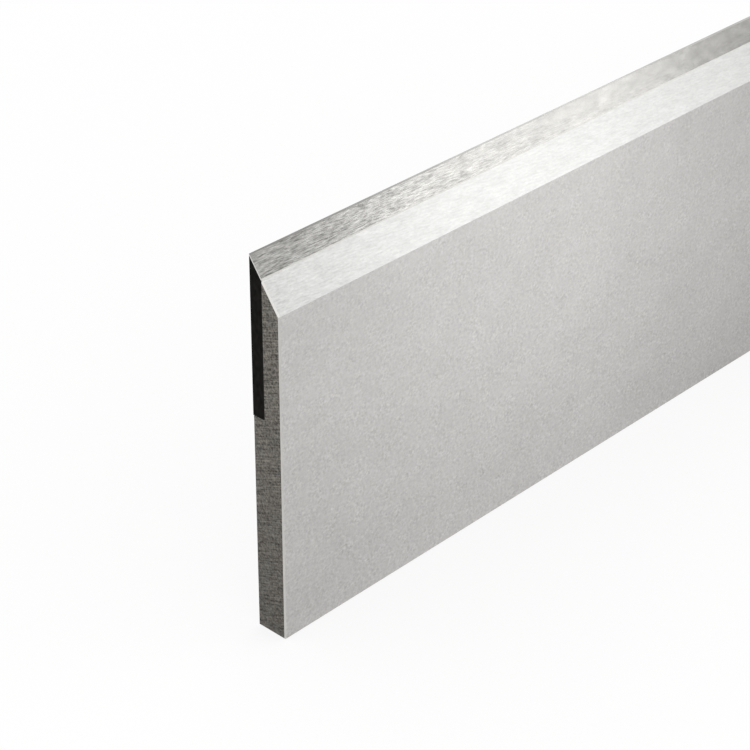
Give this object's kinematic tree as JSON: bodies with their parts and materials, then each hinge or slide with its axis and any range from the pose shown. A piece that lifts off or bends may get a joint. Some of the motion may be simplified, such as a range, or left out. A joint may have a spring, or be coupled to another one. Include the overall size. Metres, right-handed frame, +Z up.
{
  "type": "carbide-tipped planer knife",
  "caption": "Long flat planer knife with a bevelled edge. A carbide strip, brazed flush into a stepped seat along the back of the steel body, forms the cutting edge.",
  "frame": {"origin": "middle of the back edge, on which the knife stands, at half its length and half its thickness", "axes": "+X along the knife, +Y through its thickness from the front clamping face to the back face with the carbide, +Z up from the back edge to the cutting edge"},
  "size_m": [0.41, 0.01, 0.11],
  "materials": {
    "ground_tool_steel": "surface ground, matt on the broad faces and bright on the bevel",
    "silver_braze": "ground flush, dull",
    "tungsten_carbide": "diamond ground lengthwise, near black on the cut ends"
  },
  "bodies": {
    "root": {"steel_body": "ground_tool_steel", "braze_seam": "silver_braze", "carbide_strip": "tungsten_carbide"}
  },
  "joints": []
}
